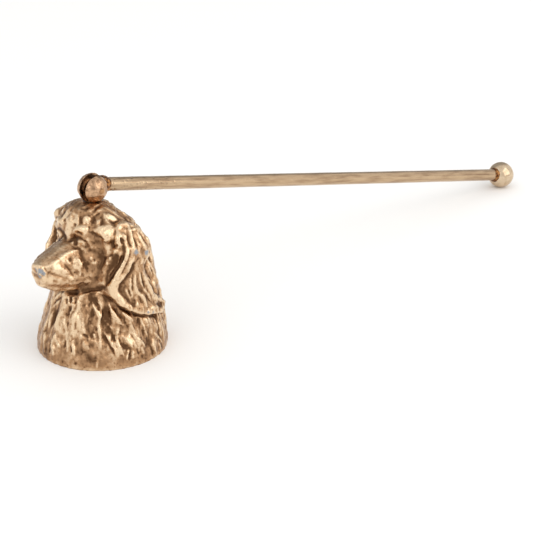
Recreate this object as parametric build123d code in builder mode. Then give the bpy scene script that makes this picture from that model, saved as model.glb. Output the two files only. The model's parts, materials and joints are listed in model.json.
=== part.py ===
from build123d import *

import os
from math import asin, atan, cos, degrees, hypot, pi, sin

# Candle snuffer: a hollow cast cup in the shape of a long-eared dog's head, hung on a flat lug
# between the cheeks of a slotted ball, with a long round handle that ends in a plain ball.
# Lengths are millimetres. The origin is the middle of the cup's mouth, where it stands on the
# table. +Z is up, the dog looks along -Y, and the handle runs along +Y with its ball on the table.

# Driving sizes of the cup casting
rim_radius = 19.1
crown_height = 45.3
rim_wall = 3.1
mouth_depth = 4.0
hollow_height = 30.5
lock_count = 18
lock_relief = 0.45
muzzle_reach = 23.4

# Driving sizes of the hinge
knuckle_diameter = 8.6
knuckle_lift = 3.3
knuckle_setback = 1.35
slot_width = 2.3
slot_reach = 3.05
slot_offset = 0.5
lug_side_gap = 0.15
lug_eye_radius = 2.3
lug_neck_width = 3.4
saddle_gap = 0.3
pin_diameter = 1.6
pin_running_gap = 0.05

# Driving sizes of the handle
rod_diameter = 4.0
rod_rise = 1.05
end_ball_diameter = 9.1
ball_distance = 189.2
end_socket_depth = 3.4
braze_spread = 0.5
braze_length = 1.6

# One overrun for every cut, so that no cut ends on a face
overrun = 1.0

mouth_radius = rim_radius - rim_wall
knuckle_radius = knuckle_diameter / 2
end_ball_radius = end_ball_diameter / 2
rod_radius = rod_diameter / 2
pin_radius = pin_diameter / 2
pivot = Vector(0, -knuckle_setback, crown_height + knuckle_lift)

# The handle slopes down from the pin until its end ball meets the table
handle_drop = degrees(
    asin((pivot.Z - end_ball_radius) / hypot(ball_distance, rod_rise)) + atan(rod_rise / ball_distance)
)
handle_plane = Plane(pivot).rotated((-handle_drop, 0, 0))
handle_along = handle_plane.y_dir
rod_foot = pivot + handle_plane.z_dir * rod_rise
end_ball_centre = rod_foot + handle_along * ball_distance
rod_plane = Plane(origin=rod_foot, x_dir=(1, 0, 0), z_dir=handle_along)


def head_place(across_share, forward_share, height_share):
    """A point on the head from its shares of the rim's radius and the crown's height."""
    return Vector(
        across_share * rim_radius, -forward_share * rim_radius, height_share * crown_height
    )


def facet_loft(rings):
    """Closed solid with flat facets through rings of corners, and a flat cap at both ends."""
    facets = [Face(Wire.make_polygon(rings[0])), Face(Wire.make_polygon(rings[-1]))]
    for ring, next_ring in zip(rings, rings[1:]):
        for corner, place in enumerate(ring):
            after = (corner + 1) % len(ring)
            # The shorter diagonal splits each four-cornered cell
            if (ring[after] - next_ring[corner]).length < (place - next_ring[after]).length:
                facets.append(Face(Wire.make_polygon([place, ring[after], next_ring[corner]])))
                facets.append(Face(Wire.make_polygon([ring[after], next_ring[after], next_ring[corner]])))
            else:
                facets.append(Face(Wire.make_polygon([place, ring[after], next_ring[after]])))
                facets.append(Face(Wire.make_polygon([place, next_ring[after], next_ring[corner]])))
    return Solid(Shell(facets))


def fading(distance, reach):
    """Share of a swelling that is left at a distance from its middle, from 1 to 0."""
    return (1 + cos(pi * min(abs(distance / reach), 1))) / 2


def bust_rings():
    """Levels of the bust; every second corner is the crest of a lock, the others valleys."""
    rings = []
    corner_count = 2 * lock_count
    for height_share, front_share, back_share, side_share, relief_share, sway in bust_level_shares:
        middle = (back_share - front_share) / 2 * rim_radius
        half_length = (back_share + front_share) / 2 * rim_radius
        ring = []
        for corner in range(corner_count):
            angle = 2 * pi * corner / corner_count
            angle += sway * sin(angle) * pi / lock_count
            stand = relief_share * lock_relief * (1 - 2 * (corner % 2))
            from_nose = degrees(min(angle, 2 * pi - angle))
            for at_angle, at_height, half_angle, half_height, swell_share in swelling_shares:
                near = fading(from_nose - at_angle, half_angle)
                near *= fading(height_share - at_height, half_height)
                stand += swell_share * rim_radius * near
            across = (side_share * rim_radius + stand) * sin(angle)
            back = middle - (half_length + stand) * cos(angle)
            ring.append(Vector(across, back, height_share * crown_height))
        rings.append(ring)
    return rings


def snout_rings(stations, corner_count=16, squareness=0.8):
    """Stations along the muzzle, each an upright oval with its own width above and below."""
    rings = []
    for reach_share, top_share, bottom_share, upper_share, lower_share in stations:
        middle = (top_share + bottom_share) / 2 * crown_height
        half_height = (top_share - bottom_share) / 2 * crown_height
        ring = []
        for corner in range(corner_count):
            angle = 2 * pi * (corner + 0.5) / corner_count
            side = 1 if sin(angle) >= 0 else -1
            above = 1 if cos(angle) >= 0 else -1
            rise = above * abs(cos(angle)) ** squareness
            width = upper_share * (1 + rise) / 2 + lower_share * (1 - rise) / 2
            across = side * abs(sin(angle)) ** squareness * width * rim_radius
            ring.append(Vector(across, -reach_share * muzzle_reach, middle + rise * half_height))
        rings.append(ring)
    return rings


def ball_rings(centre, radius, band_count=6, corner_count=12):
    """Level rings of a small round form, such as an eye."""
    rings = []
    for band in range(band_count):
        tilt = pi * (band + 0.5) / band_count
        ring = []
        for corner in range(corner_count):
            angle = 2 * pi * corner / corner_count
            across = radius * sin(tilt) * cos(angle)
            back = radius * sin(tilt) * sin(angle)
            ring.append(centre + Vector(across, back, -radius * cos(tilt)))
        rings.append(ring)
    return rings


def hollow_rings():
    """Levels of the hollow above its straight mouth, from a little below the bore's end."""
    rings = []
    for radius_share, height_share in hollow_level_shares:
        ring = []
        for corner in range(2 * lock_count):
            angle = 2 * pi * corner / (2 * lock_count)
            reach = radius_share * mouth_radius
            ring.append(Vector(reach * cos(angle), reach * sin(angle), height_share * hollow_height))
        rings.append(ring)
    return rings


def braze_ring(centre, ball_radius, facing):
    """Sloping ring of braze where the rod meets a ball, added to the part being built."""
    outer = rod_radius + braze_spread
    ball_side = (ball_radius**2 - outer**2) ** 0.5
    with BuildSketch(Plane(origin=centre, x_dir=facing, z_dir=(1, 0, 0))) as section:
        with BuildLine():
            Polyline(
                (0, rod_radius),
                (ball_side + braze_length, rod_radius),
                (ball_side, outer),
                (0, outer),
                close=True,
            )
        make_face()
    revolve(section.sketch, axis=Axis(centre, facing))


# Bust from the rim to the crown: chest, mane and neck, then the skull
bust_level_shares = (
    # height, front, back, half width, relief of the locks, sway in locks
    (0.000, 1.000, 1.000, 1.000, 0.0, 0.00),
    (0.050, 0.985, 0.992, 0.990, 0.3, 0.10),
    (0.125, 0.920, 0.970, 0.955, 1.0, 0.45),
    (0.205, 0.855, 0.940, 0.915, 0.6, 0.10),
    (0.285, 0.785, 0.915, 0.875, 1.0, -0.35),
    (0.365, 0.730, 0.893, 0.830, 0.7, 0.00),
    (0.445, 0.665, 0.865, 0.770, 1.0, 0.40),
    (0.525, 0.600, 0.833, 0.712, 0.8, 0.10),
    (0.605, 0.540, 0.800, 0.682, 0.9, -0.30),
    (0.685, 0.510, 0.730, 0.640, 0.7, 0.00),
    (0.745, 0.545, 0.660, 0.605, 0.5, 0.20),
    (0.800, 0.560, 0.560, 0.590, 0.4, 0.00),
    (0.835, 0.552, 0.490, 0.575, 0.4, 0.00),
    (0.870, 0.535, 0.405, 0.545, 0.5, -0.20),
    (0.910, 0.510, 0.310, 0.485, 0.6, 0.00),
    (0.948, 0.480, 0.190, 0.390, 0.5, 0.20),
    (0.978, 0.430, 0.085, 0.285, 0.3, 0.00),
    (1.000, 0.295, -0.050, 0.125, 0.0, 0.00),
)

swelling_shares = (
    # angle from the nose in degrees, height, half angle, half height, how far it stands out
    (24, 0.860, 26, 0.070, 0.060),
    (64, 0.868, 26, 0.090, 0.120),
    (28, 0.800, 16, 0.050, -0.050),
)

# The muzzle starts as broad as the cheeks and narrows to the nose
muzzle_station_shares = (
    # reach, top, bottom, upper half width, lower half width
    (0.060, 0.700, 0.540, 0.440, 0.440),
    (0.200, 0.770, 0.490, 0.500, 0.520),
    (0.350, 0.790, 0.475, 0.440, 0.500),
    (0.470, 0.785, 0.483, 0.300, 0.440),
    (0.560, 0.770, 0.492, 0.240, 0.395),
    (0.705, 0.745, 0.512, 0.205, 0.335),
    (0.865, 0.716, 0.545, 0.170, 0.250),
    (0.940, 0.694, 0.575, 0.125, 0.170),
)

jaw_station_shares = (
    # reach, top, bottom, upper half width, lower half width
    (0.330, 0.560, 0.440, 0.330, 0.300),
    (0.600, 0.560, 0.472, 0.280, 0.230),
    (0.780, 0.575, 0.495, 0.215, 0.170),
    (0.925, 0.590, 0.542, 0.130, 0.090),
)

# Outline of the left ear seen from the side, and how far out its face stands at each height
ear_outline_shares = (
    # behind the axis, height
    (-0.050, 0.912), (-0.160, 0.895), (-0.200, 0.850), (-0.150, 0.770), (-0.215, 0.700),
    (-0.365, 0.620), (-0.430, 0.555), (-0.430, 0.495), (-0.340, 0.435), (-0.180, 0.378),
    (0.030, 0.331), (0.250, 0.302), (0.490, 0.272), (0.640, 0.283), (0.640, 0.312),
    (0.550, 0.340), (0.370, 0.400), (0.270, 0.475), (0.180, 0.550), (0.140, 0.615),
    (0.200, 0.660), (0.340, 0.690), (0.395, 0.745), (0.310, 0.810), (0.190, 0.870),
    (0.060, 0.905),
)
ear_face_shares = (
    # reach, height
    (0.990, 0.235), (1.015, 0.283), (0.960, 0.375), (0.930, 0.460), (0.900, 0.600),
    (0.872, 0.700), (0.835, 0.770), (0.750, 0.840), (0.600, 0.915), (0.480, 0.960),
)
ear_root_share = 0.26

nose_station_shares = (
    # reach, top, bottom, upper half width, lower half width
    (0.850, 0.712, 0.620, 0.120, 0.155),
    (0.940, 0.703, 0.618, 0.115, 0.150),
    (0.985, 0.688, 0.630, 0.080, 0.100),
)

eye_share = (0.300, 0.520, 0.812)
eye_radius_share = 0.085

hollow_level_shares = (
    # radius as a share of the mouth's, height as a share of the hollow's
    (0.985, 0.100),
    (0.900, 0.260),
    (0.740, 0.540),
    (0.600, 0.740),
    (0.420, 0.900),
    (0.160, 1.000),
)

# Left ear, one leaf from its root on the skull to the tip that flips out at the back
with BuildPart() as left_ear:
    ear_root = ear_root_share * rim_radius
    with BuildSketch(Plane(origin=(ear_root, 0, 0), x_dir=(0, 1, 0), z_dir=(1, 0, 0))):
        with BuildLine():
            Polyline(*[(back * rim_radius, up * crown_height) for back, up in ear_outline_shares], close=True)
        make_face()
    extrude(amount=rim_radius)
    with BuildSketch(Plane.XZ) as ear_profile:
        with BuildLine():
            face_points = [(out * rim_radius, up * crown_height) for out, up in ear_face_shares]
            Polyline((0, face_points[0][1]), *face_points, (0, face_points[-1][1]), close=True)
        make_face()
    revolve(ear_profile.sketch, axis=Axis.Z, mode=Mode.INTERSECT)

# Cup casting: bust, skull, muzzle and ears in one piece, hollow from below, with the lug on top
lug_thickness = slot_width - 2 * lug_side_gap
lug_foot = pivot.Z - knuckle_radius - saddle_gap - lug_thickness
lug_plane = Plane(
    origin=(slot_offset - lug_thickness / 2, pivot.Y, pivot.Z), x_dir=(0, 1, 0), z_dir=(1, 0, 0)
)

with BuildPart() as dog_head_cup:
    add(facet_loft(bust_rings()))
    add(facet_loft(snout_rings(muzzle_station_shares)))
    add(facet_loft(snout_rings(jaw_station_shares)))
    add(facet_loft(snout_rings(nose_station_shares)))
    eye_place = head_place(*eye_share)
    left_eye = facet_loft(ball_rings(eye_place, eye_radius_share * rim_radius))
    add(left_eye)
    mirror(left_eye, about=Plane.YZ)
    add(left_ear.part)
    mirror(left_ear.part, about=Plane.YZ)
    # Saddle in the crown that the knuckle ball turns in
    with Locations(pivot):
        Sphere(knuckle_radius + saddle_gap, mode=Mode.SUBTRACT)
    # Lug with a round eye for the pin
    with BuildSketch(lug_plane):
        Circle(lug_eye_radius)
        with Locations((0, (lug_foot - pivot.Z) / 2)):
            Rectangle(lug_neck_width, pivot.Z - lug_foot)
    extrude(amount=lug_thickness)
    with BuildSketch(lug_plane.offset(-overrun)):
        Circle(pin_radius + pin_running_gap)
    extrude(amount=lug_thickness + 2 * overrun, mode=Mode.SUBTRACT)
    # Hollow: a short true bore at the mouth, then a taper that closes in a dome
    with BuildSketch():
        Circle(mouth_radius)
    extrude(amount=mouth_depth, mode=Mode.SUBTRACT)
    add(facet_loft(hollow_rings()), mode=Mode.SUBTRACT)
dog_head_cup.part.label = "dog_head_cup"

# Slotted ball on the handle's near end; the slot is open at the front, the top and the bottom
slot_front = knuckle_radius + overrun
with BuildPart() as knuckle_ball:
    with Locations(pivot):
        Sphere(knuckle_radius)
    with BuildSketch(handle_plane):
        with Locations((slot_offset, (slot_reach - slot_front) / 2)):
            Rectangle(slot_width, slot_reach + slot_front)
    extrude(amount=slot_front, both=True, mode=Mode.SUBTRACT)
    with BuildSketch(Plane(pivot, z_dir=(1, 0, 0))):
        Circle(pin_radius)
    extrude(amount=slot_front, both=True, mode=Mode.SUBTRACT)
knuckle_ball.part.label = "knuckle_ball"

# Rivet pin, staked in the ball's cheeks and filed flush with the ball
with BuildPart() as hinge_pin:
    with BuildSketch(Plane(pivot, z_dir=(1, 0, 0))):
        Circle(pin_radius)
    extrude(amount=slot_front, both=True)
    with Locations(pivot):
        Sphere(knuckle_radius, mode=Mode.INTERSECT)
hinge_pin.part.label = "hinge_pin"

# Rod, with its near end coped to the knuckle ball and its far end in the end ball's socket
with BuildPart() as handle_rod:
    with BuildSketch(rod_plane):
        Circle(rod_radius)
    extrude(amount=ball_distance - end_ball_radius + end_socket_depth)
    with Locations(pivot):
        Sphere(knuckle_radius, mode=Mode.SUBTRACT)
handle_rod.part.label = "handle_rod"

# Plain ball finial with a blind socket for the rod
with BuildPart() as end_ball:
    with Locations(end_ball_centre):
        Sphere(end_ball_radius)
    with BuildSketch(rod_plane.offset(ball_distance - end_ball_radius + end_socket_depth)):
        Circle(rod_radius)
    extrude(amount=-(end_socket_depth + overrun), mode=Mode.SUBTRACT)
end_ball.part.label = "end_ball"

# Braze at both ends of the rod
with BuildPart() as knuckle_braze:
    braze_ring(rod_foot, knuckle_radius, handle_along)
    with Locations(pivot):
        Sphere(knuckle_radius, mode=Mode.SUBTRACT)
knuckle_braze.part.label = "knuckle_braze"

with BuildPart() as end_ball_braze:
    braze_ring(end_ball_centre, end_ball_radius, -handle_along)
    with Locations(end_ball_centre):
        Sphere(end_ball_radius, mode=Mode.SUBTRACT)
end_ball_braze.part.label = "end_ball_braze"

pieces = (
    dog_head_cup,
    knuckle_ball,
    hinge_pin,
    handle_rod,
    end_ball,
    knuckle_braze,
    end_ball_braze,
)
os.makedirs("parts", exist_ok=True)
for piece in pieces:
    export_step(piece.part, f"parts/{piece.part.label}.step")
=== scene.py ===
"""Dog's-head candle snuffer: gilt casting, slotted ball, long brass rod and a ball finial."""

import json
import logging
import math
from dataclasses import dataclass, field, replace
from enum import Enum

import bmesh
import bpy
import numpy as np
from mathutils import Matrix, Vector, noise
from mathutils.bvhtree import BVHTree


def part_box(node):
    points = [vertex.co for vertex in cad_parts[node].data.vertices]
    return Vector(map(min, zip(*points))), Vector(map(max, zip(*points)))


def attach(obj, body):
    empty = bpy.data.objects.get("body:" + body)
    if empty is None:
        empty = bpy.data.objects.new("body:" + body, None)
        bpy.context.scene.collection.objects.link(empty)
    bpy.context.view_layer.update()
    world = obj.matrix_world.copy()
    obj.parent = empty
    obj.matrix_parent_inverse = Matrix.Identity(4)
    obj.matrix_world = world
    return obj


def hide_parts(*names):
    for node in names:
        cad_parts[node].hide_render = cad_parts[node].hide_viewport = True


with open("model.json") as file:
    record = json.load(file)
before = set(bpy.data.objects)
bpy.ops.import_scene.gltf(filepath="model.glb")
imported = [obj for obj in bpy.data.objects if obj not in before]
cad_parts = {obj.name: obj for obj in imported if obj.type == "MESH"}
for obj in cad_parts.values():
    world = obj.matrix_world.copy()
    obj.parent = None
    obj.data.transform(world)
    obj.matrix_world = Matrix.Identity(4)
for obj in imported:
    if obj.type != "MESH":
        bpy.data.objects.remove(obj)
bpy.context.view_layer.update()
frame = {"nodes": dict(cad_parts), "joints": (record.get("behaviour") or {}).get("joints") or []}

MM = 0.001
MERGE_M = 0.001 * MM
HINGE_M = frame["joints"][0]["pos_m"]
SHOT_PIXELS = 533
# Blender's noise seldom passes 0.6, so it is stretched to about 1
NOISE_STRETCH = 1.6
# The Mix node's colour sockets, which share their names with others and so go by number
MIX_SHARE, MIX_FIRST, MIX_SECOND, MIX_RESULT = 0, 6, 7, 2
LOG = logging.getLogger("snuffer")

Pixel = tuple[float, float]
Place = tuple[float, float, float]
Range = tuple[float, float]
Socket = bpy.types.NodeSocket


def linear(hex_colour: str) -> tuple[float, float, float, float]:
    """Turn an sRGB hex colour into the linear RGBA that a shader socket takes.

    Args:
        hex_colour: Six hex digits, such as "b98d5c".

    Returns:
        Linear red, green, blue and an alpha of 1.
    """
    values = []
    for start in (0, 2, 4):
        share = int(hex_colour[start:start + 2], 16) / 255
        values.append(share / 12.92 if share <= 0.04045 else ((share + 0.055) / 1.055) ** 2.4)
    return values[0], values[1], values[2], 1.0


def add_node(tree: bpy.types.NodeTree, kind: str, settings: dict | None = None,
             links: dict | None = None) -> bpy.types.Node:
    """Add one node to a tree, with its settings and what feeds it.

    Args:
        tree: The node tree.
        kind: The node's type name.
        settings: Property names, or input sockets by name or number, and their constant values.
        links: Input sockets by name or number, and the output sockets that feed them.

    Returns:
        The new node.
    """
    node = tree.nodes.new(kind)
    for name, value in (settings or {}).items():
        if isinstance(name, str) and hasattr(node, name):
            setattr(node, name, value)
        else:
            node.inputs[name].default_value = value
    for name, source in (links or {}).items():
        tree.links.new(source, node.inputs[name])
    return node


def add_object(name: str, data: bpy.types.ID) -> bpy.types.Object:
    """Put data into the scene as a new object.

    Args:
        name: The object's name.
        data: Its mesh, lamp or camera.

    Returns:
        The new object.
    """
    added = bpy.data.objects.new(name, data)
    bpy.context.scene.collection.objects.link(added)
    return added


@dataclass(frozen=True)
class ShotCamera:
    """The photograph's camera: where it stands, which way it looks and how long its lens is."""

    place_mm: Place = (370.69, -290.37, 228.62)
    turn_deg: float = 46.08
    pitch_deg: float = 23.59
    focal_pixels: float = 1778.8
    sensor_mm: float = 36.0
    clip_m: Range = (0.01, 10.0)

    def axes(self) -> tuple[Vector, Vector, Vector]:
        """Work out which way the camera is held.

        Returns:
            Its right, up and forward directions.
        """
        turn, pitch = math.radians(self.turn_deg), math.radians(self.pitch_deg)
        right = Vector((math.cos(turn), math.sin(turn), 0))
        ahead = Vector((-math.sin(turn) * math.cos(pitch), math.cos(turn) * math.cos(pitch),
                        -math.sin(pitch)))
        return right, right.cross(ahead), ahead

    def sight(self, across: float, down: float) -> Vector:
        """Give the direction in which the camera sees a pixel of the photograph.

        Args:
            across: Pixels from the photograph's left edge.
            down: Pixels from its top edge.

        Returns:
            The direction, of length 1.
        """
        right, up, ahead = self.axes()
        half = SHOT_PIXELS / 2
        return (ahead + right * ((across - half) / self.focal_pixels)
                - up * ((down - half) / self.focal_pixels)).normalized()

    def build(self) -> None:
        """Create the camera and set it as the scene's own."""
        right, up, ahead = self.axes()
        data = bpy.data.cameras.new("shot_camera")
        data.sensor_width = self.sensor_mm
        data.lens = self.focal_pixels / SHOT_PIXELS * self.sensor_mm
        data.clip_start, data.clip_end = self.clip_m
        camera = add_object("shot_camera", data)
        turned = Matrix((right, up, -ahead)).transposed().to_4x4()
        camera.matrix_world = Matrix.Translation(Vector(self.place_mm) * MM) @ turned
        bpy.context.scene.camera = camera


class Side(Enum):
    """Where a stroke is made."""

    SEEN = "only where the photograph shows it"
    BOTH = "on both sides of the dog"


class Tool(Enum):
    """A tip, as the power with which a stroke falls off from its middle."""

    ROUND = 2.0
    SHARP = 1.15
    FLAT = 4.0


@dataclass(frozen=True)
class Stroke:
    """One stroke of the modelling tool, patina brush or cloth, drawn over the photograph.

    Attributes:
        pixels: Its route in the photograph.
        width_mm: How far it spreads to each side.
        amount: How many millimetres it raises or, below zero, cuts. Of a rub, how much brown it
            leaves, partly as painted shade, or, below zero, how far it wipes the gilding bright,
            partly as a painted highlight.
        tool: The tip that it is made with.
        side: Where it is made.
    """

    pixels: tuple[Pixel, ...]
    width_mm: float
    amount: float
    tool: Tool = Tool.ROUND
    side: Side = Side.BOTH


def soft(width_mm: float, amount: float, *pixels: Pixel) -> Stroke:
    """Make a stroke with the round tip."""
    return Stroke(pixels, width_mm, amount)


def crisp(width_mm: float, amount: float, *pixels: Pixel) -> Stroke:
    """Make a stroke with the sharp tip."""
    return Stroke(pixels, width_mm, amount, Tool.SHARP)


def flat(width_mm: float, amount: float, *pixels: Pixel) -> Stroke:
    """Make a stroke with the flat tip."""
    return Stroke(pixels, width_mm, amount, Tool.FLAT)


def as_seen(*strokes: Stroke) -> tuple[Stroke, ...]:
    """Keep strokes off the dog's other side."""
    return tuple(replace(stroke, side=Side.SEEN) for stroke in strokes)


@dataclass(frozen=True)
class Swell:
    """A soft swelling or hollow at a place that the photograph hides or shows edge on.

    Attributes:
        place_mm: Its middle on the dog's left side; the right side has it too.
        reach_mm: How far it spreads.
        height_mm: How far it stands out, or, below zero, how deep it is.
    """

    place_mm: Place
    reach_mm: float
    height_mm: float


@dataclass(frozen=True)
class Grain:
    """Smooth noise that makes a surface uneven.

    Attributes:
        size_mm: Its size along x, y and z.
        seed: A shift that gives another pattern.
        height: About how far it goes to both sides of zero.
    """

    size_mm: Place
    seed: float
    height: float = 1.0

    def over(self, places: np.ndarray) -> np.ndarray:
        """Give the noise's values.

        Args:
            places: Where, in millimetres.

        Returns:
            One value for each place.
        """
        scaled = places / np.array(self.size_mm) + self.seed
        values = np.array([noise.noise(Vector(place)) for place in scaled])
        return values * NOISE_STRETCH * self.height


def smooth_step(values: np.ndarray, low: float, high: float) -> np.ndarray:
    """Ease from 0 at the low value to 1 at the high one."""
    share = np.clip((values - low) / (high - low), 0, 1)
    return share * share * (3 - 2 * share)


@dataclass
class Clay:
    """A fine even mesh that strokes and grain push in and out, like clay under a tool.

    Attributes:
        mesh: The mesh that is worked.
        places: Its corners, in millimetres.
        ends: The two corners of each edge.
        valence: How many edges meet at each corner.
        press: The share of the way to its neighbours' middle that a corner sinks at a time.
        puff: The share that it is puffed back, so that nothing shrinks.
    """

    mesh: bpy.types.Mesh
    places: np.ndarray = field(init=False)
    ends: np.ndarray = field(init=False)
    valence: np.ndarray = field(init=False)
    press: float = 0.62
    puff: float = -0.60

    def __post_init__(self) -> None:
        """Read the mesh's corners and edges."""
        count = len(self.mesh.vertices)
        flat_places = np.empty(count * 3)
        self.mesh.vertices.foreach_get("co", flat_places)
        self.places = flat_places.reshape(-1, 3) / MM
        ends = np.empty(len(self.mesh.edges) * 2, dtype=np.int64)
        self.mesh.edges.foreach_get("vertices", ends)
        self.ends = ends.reshape(-1, 2)
        self.valence = np.maximum(np.bincount(ends, minlength=count), 1)

    def spread(self, values: np.ndarray) -> np.ndarray:
        """Average what belongs to the corners over their neighbours.

        Args:
            values: A row of numbers for each corner.

        Returns:
            The averages, in the same rows.
        """
        result = np.empty_like(values)
        first, second = self.ends[:, 0], self.ends[:, 1]
        for column, row in enumerate(values.T):
            total = np.bincount(first, weights=row[second], minlength=len(row))
            total += np.bincount(second, weights=row[first], minlength=len(row))
            result[:, column] = total / self.valence
        return result

    def sink(self, amount: float, share: np.ndarray) -> None:
        """Move each corner towards its neighbours' middle.

        Args:
            amount: The share of the way; below zero, away from it.
            share: How freely each corner moves, from 0 to 1.
        """
        self.places += (self.spread(self.places) - self.places) * (amount * share)[:, None]

    def soften(self, rounds: int, share: np.ndarray) -> None:
        """Smooth the shape without shrinking it.

        Args:
            rounds: How many times it is smoothed and puffed back.
            share: How freely each corner moves, from 0 to 1.
        """
        for _ in range(rounds):
            self.sink(self.press, share)
            self.sink(self.puff, share)

    def ease(self, rounds: int, share: np.ndarray) -> None:
        """Let small forms sink into their surroundings.

        Args:
            rounds: How many times the shape is evened out.
            share: How freely each corner moves, from 0 to 1.
        """
        for _ in range(rounds):
            self.sink(-self.puff, share)

    def write(self) -> None:
        """Put the corners back into the mesh."""
        self.mesh.vertices.foreach_set("co", (self.places * MM).ravel())
        self.mesh.update()

    def facing(self) -> np.ndarray:
        """Find which way the surface faces.

        Returns:
            Each corner's outward direction.
        """
        self.write()
        directions = np.empty(len(self.places) * 3)
        self.mesh.vertex_normals.foreach_get("vector", directions)
        return directions.reshape(-1, 3)

    def push(self, amount: np.ndarray) -> None:
        """Move each corner along its outward direction, in millimetres."""
        self.places += self.facing() * amount[:, None]

    def surface(self) -> BVHTree:
        """Give the shape as it stands for rays to meet, in metres."""
        faces = [tuple(face.vertices) for face in self.mesh.polygons]
        return BVHTree.FromPolygons([tuple(place) for place in self.places * MM], faces)

    def hollowness(self, rounds: int) -> np.ndarray:
        """Measure how far each corner lies below its surroundings.

        Args:
            rounds: How far the surroundings reach, in rounds of averaging.

        Returns:
            The depths, in millimetres.
        """
        around = self.places
        for _ in range(rounds):
            around = self.spread(around)
        return np.einsum("ij,ij->i", around - self.places, self.facing())

    def store(self, name: str, values: np.ndarray) -> None:
        """Keep a value for each corner as an attribute that a material can read."""
        layer = self.mesh.attributes.new(name, "FLOAT", "POINT")
        layer.data.foreach_set("value", values.astype(np.float32))


def to_mesh(shape: bmesh.types.BMesh, name: str) -> bpy.types.Mesh:
    """Turn a finished shape into a mesh.

    Args:
        shape: The shape; it is freed.
        name: The mesh's name.

    Returns:
        The mesh.
    """
    mesh = bpy.data.meshes.new(name)
    shape.to_mesh(mesh)
    shape.free()
    return mesh


def even_mesh(name: str, rough: bpy.types.Mesh, grain_mm: float) -> bpy.types.Mesh:
    """Turn a closed shape into an even mesh of small squares.

    Args:
        name: The new mesh's name.
        rough: The shape; it is removed.
        grain_mm: The squares' size.

    Returns:
        The even mesh.
    """
    holder = add_object(name + "_rough", rough)
    remesh = holder.modifiers.new("even", "REMESH")
    remesh.mode = "VOXEL"
    remesh.voxel_size = grain_mm * MM
    seen = holder.evaluated_get(bpy.context.evaluated_depsgraph_get())
    even = bpy.data.meshes.new_from_object(seen)
    bpy.data.objects.remove(holder)
    bpy.data.meshes.remove(rough)
    even.name = name
    return even


def merged_copy(node: str) -> bpy.types.Mesh:
    """Copy a CAD node's mesh and merge the copy's loose triangles.

    Args:
        node: The node's name.

    Returns:
        The copy.
    """
    shape = bmesh.new()
    shape.from_mesh(frame["nodes"][node].data)
    bmesh.ops.remove_doubles(shape, verts=shape.verts, dist=MERGE_M)
    return to_mesh(shape, node + "_copy")


def new_piece(mesh: bpy.types.Mesh, material: bpy.types.Material, body: str, slot: str,
              *nodes: str) -> None:
    """Make an object of a mesh, have it ride on a body and stand for CAD nodes.

    Args:
        mesh: The piece's mesh, with its place in it; its name is the piece's.
        material: The piece's finish.
        body: The body it moves with.
        slot: The record's material slot; it is not used.
        nodes: The CAD nodes that it stands for.
    """
    mesh.materials.clear()
    mesh.materials.append(material)
    mesh.polygons.foreach_set("use_smooth", [True] * len(mesh.polygons))
    piece = add_object(mesh.name, mesh)
    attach(piece, body)
    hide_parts(*nodes)
    LOG.info("%s: %d faces", mesh.name, len(mesh.polygons))


# Broad forms of the head, drawn over the photograph: spread and height in mm, route in pixels
FORMS = (
    # Muzzle: flat bridge with a sharp edge, flews that swell below it, tapering to the nose
    soft(0.8, 0.35, (46, 268), (52, 264.5), (58, 260), (63, 256.5), (69, 253), (78, 249.5)),
    soft(1.3, 0.4, (51, 269), (57, 268.5), (63, 272)),
    soft(1.4, 0.2, (62, 263), (67, 258)),
    soft(1.8, 0.65, (74, 258), (77, 263), (81, 268.5)),
    # Eye: the ball with its lids, and the swelling of the cheekbone behind it
    soft(1.7, 0.35, (88, 244), (92, 243)),
    soft(0.9, -0.15, (73, 237), (79, 236.5), (85, 237)),
    soft(0.8, -0.1, (74, 245), (73.5, 240)),
    # Brow: a broad lobe over the eye's outer corner, a square one at its inner corner
    flat(1.35, 0.42, (95, 231), (103, 230.5), (109, 229), (109.5, 234)),
    flat(0.95, 0.5, (77.5, 229.5), (84, 229.5), (86, 234)),
    # Tufts on the forehead
    flat(1.25, 0.38, (72, 217), (73, 225)),
    flat(1.1, 0.34, (83, 221), (89, 221.5)),
    flat(1, 0.42, (106, 215), (110, 218), (115, 219.5)),
    soft(1.2, 0.22, (97, 221), (100, 222)),
    # Hollows of the temple and behind the eye
    soft(1.05, -0.1, (101, 247), (101.5, 254), (99.5, 262)),
    soft(1, -0.2, (93, 252), (97, 249)),
    # Cheek's raised rear edge and the deep channel between it and the ear
    soft(1.6, 0.4, (110, 245), (111, 251), (108, 258), (105, 264), (102, 271), (99, 278)),
    soft(1.4, -1.6, (123, 240), (124.5, 248), (122.5, 256), (118, 264), (112, 270), (108, 277),
         (106, 284)),
    soft(1.1, -0.6, (117.5, 252), (114, 259), (110, 267)),
    # Under the jaw
    soft(1, -0.7, (62, 292), (74, 292), (88, 291.5), (97, 290), (104, 287)),
    # Ear: raised margin that sweeps round to the tip, and the sunken leaf inside it
    soft(1.35, 0.28, (126, 247), (126.5, 255), (123, 263), (119, 271), (115.5, 278), (114.5, 286),
         (116, 294), (121, 300.5), (129, 306), (138, 310.5), (147, 312), (157, 310)),
    soft(1.4, -0.45, (134, 264), (130.5, 273), (125.5, 282), (124, 289), (128, 297), (134, 303)),
    soft(1.2, 0.4, (136, 250)),
    soft(1.2, 0.4, (147, 250)),
    soft(1, -0.7, (157, 304), (162, 305)),
    soft(1.5, 0.3, (125, 230), (130, 233)),
)

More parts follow.
